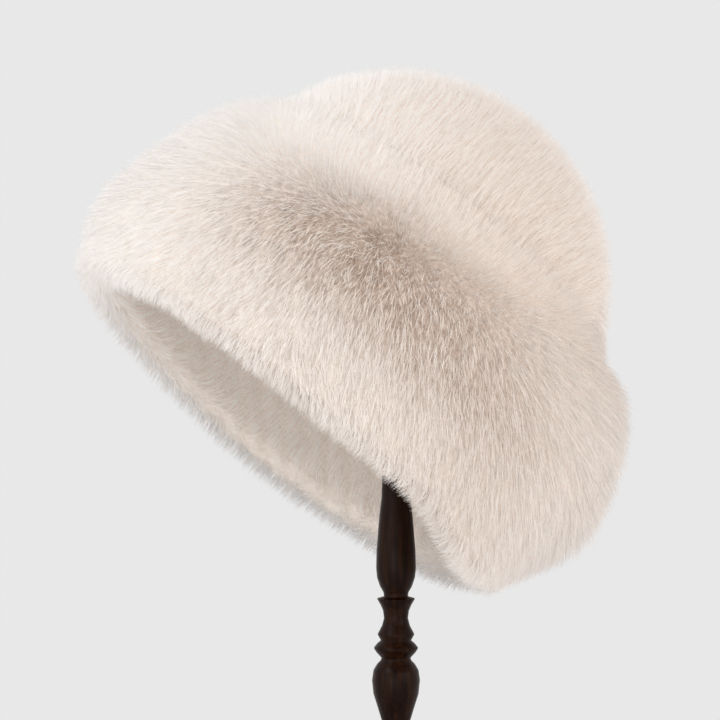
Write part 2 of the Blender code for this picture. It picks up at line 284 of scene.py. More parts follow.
# The fur's colours
FUR_TIP = (0.95, 0.905, 0.872)
FUR_MIDDLE = (0.93, 0.872, 0.828)
FUR_ROOT = (0.86, 0.77, 0.69)
# The brown colours serve the brown roots, and the painted shade under the hem and the brim
BROWN_TIP = (0.98, 0.90, 0.83)
BROWN_MIDDLE = (0.33, 0.22, 0.16)
BROWN_ROOT = (0.20, 0.12, 0.08)
# The fur's colour where its tone is low: random tone, and painted shade on the right
BEIGE_OF_TONE_AND_SHADE = (0.72, 0.635, 0.57)
UNDERFUR_PALE = ((0.78, 0.70, 0.63), (0.88, 0.81, 0.75))
UNDERFUR_BROWN = ((0.24, 0.155, 0.11), (0.60, 0.46, 0.37))
UNDERFUR_PATCH = (0.95, 0.94, 0.93)
WHITE = (1.0, 1.0, 1.0)
# Brown shows by its share times this less the hair's tone
BROWN_OVER_TONE = 1.55

# The other finishes' colours
PELT_TANS = ((0.60, 0.49, 0.39), (0.72, 0.62, 0.52))
PELT_SPECK = (0.84, 0.82, 0.80)
WOOD_DARK = (0.006, 0.0018, 0.0007)
WOOD_BROWN = (0.017, 0.0055, 0.0022)
WOOD_LIGHT = (0.036, 0.013, 0.0055)
WOOD_PATCH = (0.75, 0.72, 0.70)
FLOOR_GREYS = (0.79, 0.81)

# The sizes of the finishes' patterns
WOOL_SIZE = 0.0022
WOOL_PATCH_SIZE = 0.012
WEAVE_SIZE = 0.0012
TAN_PATCH_SIZE = 0.03
GRAIN_SIZE = 1 / 420
GRAIN_LENGTHENED = 0.07
WOOD_PATCH_SIZE = 0.03
VARNISH_SIZE = 0.006
FLOOR_PATCH_SIZE = 0.4

# The floor, the light and the camera
CAMERA_PLACE = (-0.018, -1.2, 0.254)
SENSOR_WIDTH = 36
VIEW_WIDTH = 0.36
FLOOR_RADIUS = 0.30
FLOOR_THICKNESS = 0.004
BACKGROUND = 0.807
# Each light's name, place, the point that it faces, size, power in watts and colour
LIGHTS = (
    ("key", (-0.9, -0.8, 1.25), (0, 0, 0.27), (0.7, 0.7), 4.8, (0.97, 0.985, 1.0)),
    ("fill", (-1.1, -1.0, 0.35), (0, 0, 0.25), (0.8, 0.8), 1.5, (1.0, 1.0, 1.0)),
    ("low", (-0.3, -1.3, 0.05), (0, 0, 0.22), (0.8, 0.3), 1.8, (1.0, 0.97, 0.94)),
    ("warm", (1.2, -1.0, 0.45), (0, 0, 0.25), (0.8, 0.8), 4.5, (1.0, 0.80, 0.66)),
)


def smooth_step(share):
    held = np.clip(share, 0.0, 1.0)
    return held * held * (3 - 2 * held)


def smooth_curve(before, start, end, after, share):
    """Between start and end on the smooth curve through all four."""
    two, three = share**2, share**3
    return (
        start * (2 * three - 3 * two + 1)
        + (end - before) / 2 * (three - 2 * two + share)
        + end * (3 * two - 2 * three)
        + (after - start) / 2 * (three - two)
    )


# The hat's own frame, in which the crown's centre is the origin
HAT_LEAN = Euler((-LEAN_BACK, LEAN_RIGHT, 0)).to_matrix()
HAT = Matrix.Translation((0, 0, CENTRE_HEIGHT)) @ HAT_LEAN.to_4x4()
HAT_TURN = np.array(HAT.to_3x3())
HAT_PLACE = np.array(HAT.translation)
DOWN = np.array([0, 0, -1]) @ HAT_TURN
PARTING = np.array([math.cos(SEAM_PARTING), math.sin(SEAM_PARTING)])
WALL = HEAD_RADIUS + PELT / 2
SEAM = np.array([math.sqrt(WALL**2 - SEAM_HEIGHT**2), SEAM_HEIGHT])
CROWN_EDGE = math.acos(SEAM_HEIGHT / WALL)

# The brim's path runs 0 to 1 from the seam to the hem, 1 to 2 round the hem, and 2 to 3 back on
# the underside.
PATHS = np.concatenate([
    np.linspace(0, 1, OVER_STEPS + 1)[:-1],
    np.linspace(1, 2, HEM_STEPS + 1)[:-1],
    np.linspace(2, 3, OVER_STEPS + 1),
])


def brim_grid():
    """The middle of the brim's wall and the way out of it, for each turn and path."""
    rows = np.array(BRIM_SECTIONS, float)
    turns = np.degrees(np.arange(TURN_STEPS) * 2 * np.pi / TURN_STEPS)
    at = np.searchsorted(rows[:, 0], turns, side="right") - 1
    ends = np.append(rows[1:, 0], 360)
    between = ((turns - rows[at, 0]) / (ends[at] - rows[at, 0]))[:, None]
    last = len(rows)
    section = smooth_curve(
        rows[at - 1, 1:], rows[at, 1:], rows[(at + 1) % last, 1:], rows[(at + 2) % last, 1:], between
    )
    reach = section[:, 0::2] * BRIM_REACH
    drop = section[:, 1::2] * BRIM_DEPTH
    seam = np.broadcast_to(SEAM, (TURN_STEPS, 2))
    knots = np.stack([seam] + [seam + np.stack([reach[:, k], -drop[:, k]], 1) for k in range(3)], 1)
    before = 2 * knots[:, :1] - knots[:, 1:2]
    after = 2 * knots[:, 3:] - knots[:, 2:3]
    knots = np.concatenate([before, knots, after], 1)
    shares = np.linspace(0, 1, SPAN_POINTS)[None, :, None]
    spans = [smooth_curve(*(knots[:, k + n, None] for n in range(4)), shares) for k in range(3)]
    line = np.concatenate([spans[0][:, :-1], spans[1][:, :-1], spans[2]], 1)
    steps = np.linalg.norm(np.diff(line, axis=1), axis=2)
    lengths = np.concatenate([np.zeros((TURN_STEPS, 1)), np.cumsum(steps, 1)], 1)
    share = np.where(PATHS <= 1, PATHS, np.where(PATHS <= 2, 1, 3 - PATHS))

    def at_paths(values):
        placed = np.empty((TURN_STEPS, len(PATHS), 2))
        for k in range(TURN_STEPS):
            for axis in range(2):
                placed[k, :, axis] = np.interp(share * lengths[k, -1], lengths[k], values[k, :, axis])
        return placed

    middle = at_paths(line)
    run = at_paths(np.gradient(line, axis=1))
    run /= np.linalg.norm(run, axis=2, keepdims=True)
    over = np.stack([-run[..., 1], run[..., 0]], -1)
    blend = smooth_step(1 - share / SEAM_BLEND)[None, :, None]
    over = over * (1 - blend) + PARTING * blend
    over /= np.linalg.norm(over, axis=2, keepdims=True)
    hem = (np.pi * np.clip(PATHS - 1, 0, 1))[None, :, None]
    return middle, over * np.cos(hem) + run * np.sin(hem)


BRIM_MIDDLE, BRIM_OUT = brim_grid()


def stand_up(turn, flat):
    """Points of radius and height, stood up at those turns, in the hat's frame."""
    return np.stack([flat[..., 0] * np.sin(turn), -flat[..., 0] * np.cos(turn), flat[..., 1]], -1)


def turns_of(points):
    """The points' turns round the hat's axis, from the front."""
    return np.arctan2(points[:, 0], -points[:, 1])


def signed_degrees(turn):
    """Turns in degrees from -180 to 180."""
    return (np.degrees(turn) + 180) % 360 - 180


def into_world(points):
    return points @ HAT_TURN.T + HAT_PLACE


def brim_look(turn, path):
    """The wall's middle and the way out of it at those turns and paths, in the hat's frame."""
    across = (turn / (2 * np.pi)) % 1 * TURN_STEPS
    along = np.interp(path, PATHS, np.arange(len(PATHS)))
    low, first = np.floor(across).astype(int), np.floor(along).astype(int)
    first = np.minimum(first, len(PATHS) - 2)
    s, t = (across - low)[..., None], (along - first)[..., None]
    low, high = low % TURN_STEPS, (low + 1) % TURN_STEPS

    def mixed(grid):
        near = grid[low, first] * (1 - t) + grid[low, first + 1] * t
        far = grid[high, first] * (1 - t) + grid[high, first + 1] * t
        return near * (1 - s) + far * s

    out = mixed(BRIM_OUT)
    out /= np.linalg.norm(out, axis=-1, keepdims=True)
    return stand_up(turn, mixed(BRIM_MIDDLE)), stand_up(turn, out)


def crown_look(turn, polar):
    """The crown's wall and the way out of it, at those turns and angles from the crown's top."""
    flat = np.stack([np.sin(polar), np.cos(polar)], -1)
    blend = smooth_step((polar / CROWN_EDGE - (1 - SEAM_BLEND)) / SEAM_BLEND)[..., None]
    out = flat * (1 - blend) + PARTING * blend
    out /= np.linalg.norm(out, axis=-1, keepdims=True)
    return stand_up(turn, flat * WALL), stand_up(turn, out)


# Making and finishing pieces


def deselect():
    if bpy.context.mode != "OBJECT":
        bpy.ops.object.mode_set(mode="OBJECT")
    bpy.ops.object.select_all(action="DESELECT")


def finish_piece(piece, name, material, nodes=()):
    """Names the piece, gives it its material, and ties it to the frame."""
    piece.name = name
    piece.data.name = name
    piece.data.materials.clear()
    piece.data.materials.append(material)
    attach(piece, "root")
    if nodes:
        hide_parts(*nodes)
    return piece


def reshape(piece, points):
    """Puts the piece's vertices at those points and turns its faces outwards."""
    piece.data.vertices.foreach_set("co", np.ascontiguousarray(points, np.float32).ravel())
    piece.data.update()
    bpy.ops.object.mode_set(mode="EDIT")
    bpy.ops.mesh.select_all(action="SELECT")
    bpy.ops.mesh.normals_make_consistent(inside=False)
    bpy.ops.object.mode_set(mode="OBJECT")
    piece.data.shade_smooth()


def vertex_places(piece):
    places = np.empty(len(piece.data.vertices) * 3, np.float32)
    piece.data.vertices.foreach_get("co", places)
    return places.reshape(-1, 3).astype(float)


def store(mesh, key, values):
    """Keeps a value for each of the mesh's points, for its material to read."""
    layer = mesh.attributes.new(key, "FLOAT", "POINT")
    layer.data.foreach_set("value", values.astype(np.float32))


def soft_lumps(points, size, seed):
    """A smooth uneven value, about -1 to 1, over points in metres, with lumps of that size."""
    chance = np.random.default_rng(seed)
    value = np.zeros(len(points))
    for _ in range(LUMP_WAVES):
        way = chance.normal(size=3)
        way *= 2 * np.pi / size / np.linalg.norm(way) * chance.uniform(*LUMP_SIZES)
        value += np.sin(points @ way + chance.uniform(0, 2 * np.pi))
    return value / LUMP_LEVEL


def brim_ring(low, high, end, segments, rows):
    """A closed ring over the brim from its seam to the end path, from a low depth to a high one
    that follows the path. It is a torus whose section is laid along the brim."""
    deselect()
    bpy.ops.mesh.primitive_torus_add(
        major_radius=1, minor_radius=0.5, major_segments=segments, minor_segments=2 * rows
    )
    piece = bpy.context.object
    at = vertex_places(piece)
    turn = turns_of(at)
    minor = np.arctan2(at[:, 2], np.hypot(at[:, 0], at[:, 1]) - 1)
    step = np.round((minor % (2 * np.pi)) / (np.pi / rows)).astype(int) % (2 * rows)
    outside = step < rows
    row = np.where(outside, step, 2 * rows - 1 - step)
    path = end * row / (rows - 1)
    middle, out = brim_look(turn, path)
    depth = np.where(outside, high(path), low)
    points = middle + out * depth[:, None]
    return piece, points, out, outside, path


def crown_dome(low, high, segments, rows):
    """A dome shell over the crown between two depths, made of a sphere whose lower half is
    folded up inside."""
    deselect()
    bpy.ops.mesh.primitive_uv_sphere_add(radius=1, segments=segments, ring_count=2 * rows)
    piece = bpy.context.object
    at = vertex_places(piece)
    fall = np.arccos(np.clip(at[:, 2], -1, 1)) / np.pi * 2 * rows
    step = np.round(fall).astype(int)
    outside = step <= rows - 1
    row = np.where(outside, step, 2 * rows - step)
    polar = CROWN_EDGE * np.minimum(row / (rows - 1), 1)
    wall, out = crown_look(turns_of(at), polar)
    depth = np.where(outside, high, low)
    points = wall + out * depth[:, None]
    return piece, points, out, outside


# Materials


def node(tree, kind, **values):
    """Adds a node and sets its inputs by name, with spaces as underscores, and its own settings."""
    made = tree.nodes.new(kind)
    for key, value in values.items():
        if hasattr(made, key):
            setattr(made, key, value)
        else:
            made.inputs[key.replace("_", " ")].default_value = value
    return made


def new_material(name):
    made = bpy.data.materials.new(name)
    made.use_nodes = True
    return made, made.node_tree, made.node_tree.nodes["Principled BSDF"]


def ramp(tree, source, stops):
    """A colour ramp on a value."""
    made = tree.nodes.new("ShaderNodeValToRGB")
    elements = made.color_ramp.elements
    while len(elements) < len(stops):
        elements.new(0.5)
    for element, (place, colour) in zip(elements, stops):
        element.position = place
        element.color = (*colour, 1)
    tree.links.new(source, made.inputs[0])
    return made.outputs[0]


def mix(tree, factor, first, second, blend="MIX"):
    """Two colours mixed or multiplied, each a socket or a plain value, as the factor is."""
    made = tree.nodes.new("ShaderNodeMix")
    made.data_type = "RGBA"
    made.blend_type = blend
    for socket, value in ((made.inputs[0], factor), (made.inputs[6], first), (made.inputs[7], second)):
        if isinstance(value, bpy.types.NodeSocket):
            tree.links.new(value, socket)
        elif socket.type == "RGBA":
            socket.default_value = (*value, 1)
        else:
            socket.default_value = value
    return made.outputs[2]


def noise(tree, size, detail=2.0, roughness=0.5):
    """A noise pattern on Object coordinates, with lumps of about that size in metres."""
    coordinates = node(tree, "ShaderNodeTexCoord")
    pattern = node(tree, "ShaderNodeTexNoise", Scale=1 / size, Detail=detail, Roughness=roughness)
    tree.links.new(coordinates.outputs["Object"], pattern.inputs["Vector"])
    return pattern.outputs[0]


def bump(tree, shader, height, strength, distance):
    """Raises the shader's surface by a pattern of heights."""
    made = node(tree, "ShaderNodeBump", Strength=strength, Distance=distance)
    tree.links.new(height, made.inputs["Height"])
    tree.links.new(made.outputs[0], shader.inputs["Normal"])


def attribute(tree, name):
    return node(tree, "ShaderNodeAttribute", attribute_name=name).outputs["Fac"]


def beige_and_shade_group():
    """A node group that makes fur more beige where its tone is low: tone that differs at random, and
    painted shade on the right.
    """
    group = bpy.data.node_groups.new("fur_beige_and_shade", "ShaderNodeTree")
    group.interface.new_socket("Colour", in_out="INPUT", socket_type="NodeSocketColor")
    group.interface.new_socket("Tone", in_out="INPUT", socket_type="NodeSocketFloat")
    group.interface.new_socket("Colour", in_out="OUTPUT", socket_type="NodeSocketColor")
    taken = group.nodes.new("NodeGroupInput")
    given = group.nodes.new("NodeGroupOutput")
    beige = ramp(group, taken.outputs["Tone"], ((0.0, BEIGE_OF_TONE_AND_SHADE), (PALE_TONE, WHITE)))
    colour = mix(group, 1.0, taken.outputs["Colour"], beige, "MULTIPLY")
    group.links.new(colour, given.inputs["Colour"])
    return group


def tinted(tree, group, colour):
    """The colour after the tint group, by the piece's tone, which holds random tone and painted shade
    on the right.
    """
    made = tree.nodes.new("ShaderNodeGroup")
    made.node_tree = group
    tree.links.new(colour, made.inputs["Colour"])
    tree.links.new(attribute(tree, "tone_and_shade"), made.inputs["Tone"])
    return made.outputs["Colour"]


def hair_material(group):
    """Fur hair: taupe at the root, cream at the tip. The attribute along runs root to tip, tone
    differs from hair to hair and holds painted shade on the right, and deep is where the brown roots
    show most and where shade is painted under the hem and the brim."""
    made, tree, shader = new_material("fur_hair")
    along = attribute(tree, "along")
    pale = ramp(tree, along, ((0.0, FUR_ROOT), (0.45, FUR_MIDDLE), (0.9, FUR_TIP)))
    brown = ramp(tree, along, ((0.0, BROWN_ROOT), (0.5, BROWN_MIDDLE), (1.0, BROWN_TIP)))
    spare = node(tree, "ShaderNodeMath", operation="SUBTRACT")
    spare.inputs[0].default_value = BROWN_OVER_TONE
    tree.links.new(attribute(tree, "tone_and_shade"), spare.inputs[1])
    share = node(tree, "ShaderNodeMath", operation="MULTIPLY", use_clamp=True)
    tree.links.new(spare.outputs[0], share.inputs[0])
    tree.links.new(attribute(tree, "deep"), share.inputs[1])
    colour = tinted(tree, group, mix(tree, share.outputs[0], pale, brown))
    tree.links.new(colour, shader.inputs["Base Color"])
    shader.inputs["Roughness"].default_value = 0.62
    shader.inputs["Specular IOR Level"].default_value = 0.25
    shader.inputs["Sheen Weight"].default_value = 0.15
    shader.inputs["Sheen Roughness"].default_value = 0.5
    # Painted light: the hair glows in its own colour, most at its fine tips
    tip_glow = ramp(tree, along, ((0.2, (0.5,) * 3), (1.0, WHITE)))
    glow = mix(tree, 1.0, colour, tip_glow, "MULTIPLY")
    tree.links.new(glow, shader.inputs["Emission Color"])
    shader.inputs["Emission Strength"].default_value = HAIR_GLOW
    return made


def underfur_material(group):
    """The dense woolly underfur that shows between the hairs."""
    made, tree, shader = new_material("underfur")
    fine = noise(tree, WOOL_SIZE, 4.0, 0.65)
    pale = ramp(tree, fine, ((0.3, UNDERFUR_PALE[0]), (0.7, UNDERFUR_PALE[1])))
    brown = ramp(tree, fine, ((0.3, UNDERFUR_BROWN[0]), (0.7, UNDERFUR_BROWN[1])))
    # Browner where the brown roots show, and as painted shade under the hem and the brim
    colour = mix(tree, attribute(tree, "deep"), pale, brown)
    patch = ramp(tree, noise(tree, WOOL_PATCH_SIZE), ((0.35, UNDERFUR_PATCH), (0.65, WHITE)))
    colour = tinted(tree, group, mix(tree, 1.0, colour, patch, "MULTIPLY"))
    tree.links.new(colour, shader.inputs["Base Color"])
    bump(tree, shader, fine, strength=0.8, distance=0.0015)
    shader.inputs["Roughness"].default_value = 0.9
    shader.inputs["Specular IOR Level"].default_value = 0.1
    # Painted light: the underfur glows in its own colour
    tree.links.new(colour, shader.inputs["Emission Color"])
    shader.inputs["Emission Strength"].default_value = UNDERFUR_GLOW
    return made


def pelt_material():
    """The skin side of the fur: a fine woven backing."""
    made, tree, shader = new_material("pelt_backing")
    fine = noise(tree, WEAVE_SIZE, 3.0, 0.6)
    colour = ramp(tree, noise(tree, TAN_PATCH_SIZE), ((0.3, PELT_TANS[0]), (0.7, PELT_TANS[1])))
    speck = ramp(tree, fine, ((0.3, PELT_SPECK), (0.7, WHITE)))
    tree.links.new(mix(tree, 1.0, colour, speck, "MULTIPLY"), shader.inputs["Base Color"])
    bump(tree, shader, fine, strength=0.5, distance=0.0006)
    shader.inputs["Roughness"].default_value = 0.85
    return made


def wood_material():
    """Dark stained hardwood under a satin varnish, with its grain along the turning's axis."""
    made, tree, shader = new_material("stained_wood")
    coordinates = node(tree, "ShaderNodeTexCoord")
    stretch = node(tree, "ShaderNodeMapping")
    stretch.inputs["Scale"].default_value = (1.0, 1.0, GRAIN_LENGTHENED)
    tree.links.new(coordinates.outputs["Object"], stretch.inputs["Vector"])
    grain = node(tree, "ShaderNodeTexNoise", Scale=1 / GRAIN_SIZE, Detail=4.0, Roughness=0.6)
    tree.links.new(stretch.outputs[0], grain.inputs["Vector"])
    grain = grain.outputs[0]
    streaks = ramp(tree, grain, ((0.30, WOOD_DARK), (0.52, WOOD_BROWN), (0.75, WOOD_LIGHT)))
    patches = ramp(tree, noise(tree, WOOD_PATCH_SIZE), ((0.35, WOOD_PATCH), (0.7, WHITE)))
    tree.links.new(mix(tree, 1.0, streaks, patches, "MULTIPLY"), shader.inputs["Base Color"])
    rough = ramp(tree, noise(tree, VARNISH_SIZE, 3.0), ((0.3, (0.30,) * 3), (0.75, (0.44,) * 3)))
    tree.links.new(rough, shader.inputs["Roughness"])
    bump(tree, shader, grain, strength=0.25, distance=0.0002)
    shader.inputs["Specular IOR Level"].default_value = 0.08
    shader.inputs["Coat Weight"].default_value = 0.03
    shader.inputs["Coat Roughness"].default_value = 0.25
    return made


def floor_material():
    made, tree, shader = new_material("pale_floor")
    low, high = FLOOR_GREYS
    shade = ramp(tree, noise(tree, FLOOR_PATCH_SIZE), ((0.3, (low,) * 3), (0.7, (high,) * 3)))
    tree.links.new(shade, shader.inputs["Base Color"])
    shader.inputs["Roughness"].default_value = 0.9
    return made


# The hair


def painted_right_shade(points, loss):
    """The fur's tone at points in the hat's frame: painted shade, more beige to the right by that
    loss.
    """
    return PALE_TONE - loss * smooth_step((into_world(points)[:, 0] - RIGHT_SHADE_START) / RIGHT_SHADE_WIDTH)


def painted_shade_loss_at(path):
    """The brim's loss of tone to painted shade on the right: as on the crown by the seam, and less
    further out.
    """
    return CROWN_RIGHT_SHADE + (BRIM_RIGHT_SHADE - CROWN_RIGHT_SHADE) * smooth_step(path / RIGHT_SHADE_PATH)


def even_pairs(count, chance):
    """Pairs of values from 0 to 1 that fill the square evenly."""
    steps = np.arange(count)
    return tuple((chance.random() + steps * stride) % 1 for stride in EVEN_STRIDES)


def ramp_up(path, start, fade):
    """0 up to the start, then smoothly to 1 over the fade."""
    return smooth_step((path - start) / fade)


def front_brown_and_shade(turn, path):
    """How brown the fur is: most on the bulge at the front, where it parts and its roots show; it also
    holds painted shade under the front hem, on the lower front and deep on the underside.
    """
    degrees = signed_degrees(turn)
    across = 1 - smooth_step((np.abs(degrees - BROWN_MIDDLE_TURN) - BROWN_HALF) / BROWN_FADE)
    aside = np.abs(degrees - BROWN_STRONGEST_TURN) / BROWN_ASIDE
    along = np.exp(-(((path - BROWN_PATH - BROWN_DRIFT * aside) / BROWN_PATH_WIDTH) ** 2))
    along *= BROWN_SHARE - BROWN_LOSS * aside
    # Painted shade under the front hem's hair
    along += HEM_PAINTED_SHADE_SHARE * np.exp(-(((path - HEM_PAINTED_SHADE_PATH) / BROWN_PATH_WIDTH) ** 2))
    # Painted shade on the lower front, and deep on the underside
    skirt = SKIRT_SHARE * ramp_up(path, *SKIRT_PATHS)
    beneath = BENEATH_SHARE * ramp_up(path, *BENEATH_PATHS) * ramp_up(path, *BENEATH_LIMIT)
    return np.maximum(across * np.maximum(along, skirt), beneath)


def crown_shade(turn, polar):
    """How brown the crown is, as the brim's shade runs on over the seam."""
    return front_brown_and_shade(turn, (polar - CROWN_EDGE) * CROWN_PATH)


def front_window(turn):
    """1 at the front, falling to 0 at the sides."""
    return 1 - smooth_step((np.abs(signed_degrees(turn)) - FRONT_HALF) / FRONT_FADE)


def parting_side(turn, path):
    """From -1 where the hair is brushed up from the parting to 1 where it falls."""
    at, parting = np.array(PARTINGS).T
    return np.tanh((path - np.interp(signed_degrees(turn), at, parting)) / PARTING_WIDTH)


# A hair is a spindle: its root, three points round its middle and its tip. How far along it each
# is, and its faces.
SPINDLE_ALONG = (0.0, 0.5, 0.5, 0.5, 1.0)
SPINDLE_FACES = ((0, 2, 1), (0, 3, 2), (0, 1, 3), (4, 1, 2), (4, 2, 3), (4, 3, 1))


def hair_piece(name, root, middle, tip, out, tone_and_shade, deep, material, chance):
    """One mesh of fine closed spindles, a hair each, from its root through its middle to its tip.
    Their shading leans on the way out of the skin, so that the coat looks soft and whole."""
    count = len(root)
    size = len(SPINDLE_ALONG)
    way = tip - root
    way /= np.linalg.norm(way, axis=1, keepdims=True)
    side = np.cross(way, chance.normal(size=(count, 3)))
    side /= np.linalg.norm(side, axis=1, keepdims=True)
    other = np.cross(way, side)
    width = HAIR_WIDTH / 2 * chance.uniform(*WIDTH_SPREAD, (count, 1))
    width *= 1 + BROWN_THICKER * deep[:, None]
    points = np.empty((count, size, 3))
    points[:, 0] = root
    points[:, -1] = tip
    for k in range(3):
        angle = 2 * np.pi * k / 3
        points[:, 1 + k] = middle + (side * math.cos(angle) + other * math.sin(angle)) * width
    firsts = np.arange(count)[:, None, None] * size
    faces = (firsts + np.array(SPINDLE_FACES)).ravel().astype(np.int32)
    mesh = bpy.data.meshes.new(name)
    mesh.vertices.add(count * size)
    mesh.vertices.foreach_set("co", into_world(points.reshape(-1, 3)).astype(np.float32).ravel())
    mesh.loops.add(len(faces))
    mesh.loops.foreach_set("vertex_index", faces)
    mesh.polygons.add(len(faces) // 3)
    mesh.polygons.foreach_set("loop_start", np.arange(0, len(faces), 3, dtype=np.int32))
    mesh.update(calc_edges=True)
    store(mesh, "along", np.tile(SPINDLE_ALONG, count))
    store(mesh, "tone_and_shade", np.repeat(tone_and_shade, size))
    store(mesh, "deep", np.repeat(deep, size))
    mesh.shade_smooth()
    facing = np.empty(count * size * 3, np.float32)
    mesh.vertex_normals.foreach_get("vector", facing)
    lifted = out @ HAT_TURN.T + (0, 0, SHADING_LIFT)
    lifted /= np.linalg.norm(lifted, axis=1, keepdims=True)
    lifted = np.repeat(lifted, size, 0)
    facing = facing.reshape(-1, 3) * (1 - SOFT_SHADING) + lifted * SOFT_SHADING
    facing /= np.linalg.norm(facing, axis=1, keepdims=True)
    mesh.normals_split_custom_set_from_vertices(facing)
    piece = bpy.data.objects.new(name, mesh)
    bpy.context.scene.collection.objects.link(piece)
    return finish_piece(piece, name, material)


def bend_hair(root, out, comb, length, lean_root, lean_tip):
    """A hair's middle and tip: it leaves the skin leaning by lean_root from the way out towards the
    comb, and ends leaning by lean_tip."""
    first = out * np.cos(lean_root)[:, None] + comb * np.sin(lean_root)[:, None]
    second = out * np.cos(lean_tip)[:, None] + comb * np.sin(lean_tip)[:, None]
    middle = root + first * (length * 0.5)[:, None]
    return middle, middle + second * (length * 0.5)[:, None]


def path_at(run):
    """The path at that distance along the fur's surface, from the seam over the brim and back."""
    return np.interp(run, np.cumsum([0, BRIM_LENGTH, HEM_LENGTH, BRIM_LENGTH]), [0, 1, 2, 3])


def flatten(way, out):
    """The part of a way that runs along the surface, at full length."""
    flat = way - out * np.sum(way * out, axis=1, keepdims=True)
    return flat / np.linalg.norm(flat, axis=1, keepdims=True)


def turned_aside(comb, out, swirl):
    """The comb's way turned along the surface by that angle."""
    across = np.cross(out, comb)
    return comb * np.cos(swirl)[:, None] + across * np.sin(swirl)[:, None]


def between_ways(first, second, share):
    way = first * (1 - share) + second * share
    return way / np.linalg.norm(way, axis=1, keepdims=True)


def uneven(points, shares, chance, seed):
    """A factor near 1 for each hair's length, uneven by lumps and from hair to hair."""
    by_lumps, by_hair = shares
    lumps = soft_lumps(points, LENGTH_LUMPS, seed)
    return 1 + by_lumps * lumps + by_hair * chance.normal(size=len(points))


def tufted(tip, tuft, count, pull):
    """Draws the tips of each tuft towards their middle, by a share for each hair."""
    middles = np.zeros((count, 3))
    np.add.at(middles, tuft, tip)
    middles /= np.bincount(tuft, minlength=count)[:, None]
    return tip + (middles[tuft] - tip) * pull[:, None]


def brim_comb(turn, path, wall, out):
    """The way that the brim's hair is combed: outwards and round the hem, and straight down on
    the lower part of the front."""
    ahead, ahead_out = brim_look(turn, np.minimum(path + COMB_STEP, 3.0))
    onwards = ahead + ahead_out * COMB_HEIGHT - wall - out * COMB_HEIGHT
    hang = HANG * front_window(turn) * ramp_up(path, HANG_START, HANG_FADE) * (path < HANG_END)
    return flatten(flatten(onwards, out) + DOWN * hang[:, None], out)


def brim_reach(turn, path):
    """The brim's hair length. At the right the crown meets the brim in a notch of shorter hair."""
    reach = np.interp(path, *zip(*BRIM_LENGTHS))
    notch = smooth_step((NOTCH_HALF - np.abs(np.degrees(turn) - NOTCH_TURN)) / NOTCH_FADE)
    notch *= smooth_step(1 - path / NOTCH_PATH)
    return reach - notch * (SEAM_HAIR_LENGTH - NOTCH_HAIR_LENGTH)


def brim_pull(turn, path, shade):
    """How strongly the brim's tufts draw together: more in the brown zone and at the front hem."""
    start, full, end = HEM_PULL_PATHS
    hem = front_window(turn) * ramp_up(path, start, full - start) * (path < end)
    return np.minimum(BRIM_PULL + BROWN_PULL * shade + HEM_PULL * hem, MOST_PULL)


def brim_hair(name, start, end, first, last, count, material, seed):
    """Hair on one stretch of the brim, between two turns in degrees and two distances from the
    seam."""
    chance = np.random.default_rng(seed)
    tufts = count // HAIRS_TO_A_TUFT
    turn, run = even_pairs(tufts, chance)
    turn = np.radians(start + (end - start) * turn)
    run = first + (last - first) * run
    tuft = np.repeat(np.arange(tufts), HAIRS_TO_A_TUFT)
    turn = turn[tuft] + chance.normal(size=len(tuft)) * TUFT_SPREAD / 2 / BRIM_RADIUS
    path = path_at(run[tuft] + chance.normal(size=len(tuft)) * TUFT_SPREAD / 2)
    wall, out = brim_look(turn, path)
    # Brown where the roots show, and painted shade under the hem and the brim
    shade = front_brown_and_shade(turn, path)
    stray = chance.normal(size=len(turn)) * (STRAY + BROWN_STRAY * shade)
    swirl = soft_lumps(wall, SWIRL_SIZE, seed=5) * BRIM_SWIRL + stray
    comb = turned_aside(brim_comb(turn, path, wall, out), out, swirl)
    reach = brim_reach(turn, path) * uneven(wall, BRIM_UNEVEN, chance, seed=6)
    jitter = chance.normal(size=len(turn)) * (BRIM_LEAN_SPREAD + BROWN_LEAN_SPREAD * shade)
    # Hair brushed up from the parting stands on the brim's own wall and lies unevenly
    fall = parting_side(turn, path)
    up = np.clip(-fall, 0, 1)
    way = between_ways(out, brim_look(turn, np.maximum(path, PAST_SEAM))[1], up[:, None])
    reach *= 1 + BRUSHED_UNEVEN * up * chance.normal(size=len(turn))
    leans = [lean * fall - more * up + jitter for lean, more in zip(BRIM_LEAN, BRUSHED_FURTHER)]
    root = wall + out * HAIR_START
    middle, tip = bend_hair(root, way, flatten(comb, way), reach, *leans)
    tip = tufted(tip, tuft, tufts, brim_pull(turn, path, shade))
    spread = (TONE_SPREAD + BROWN_TONE_SPREAD * shade) * chance.normal(size=len(turn))
    # Painted shade: the tone falls to the right, plus a random spread
    tone_and_shade = np.clip(painted_right_shade(wall, painted_shade_loss_at(path)) + spread, 0, 1)
    return hair_piece(name, root, middle, tip, way, tone_and_shade, shade, material, chance)


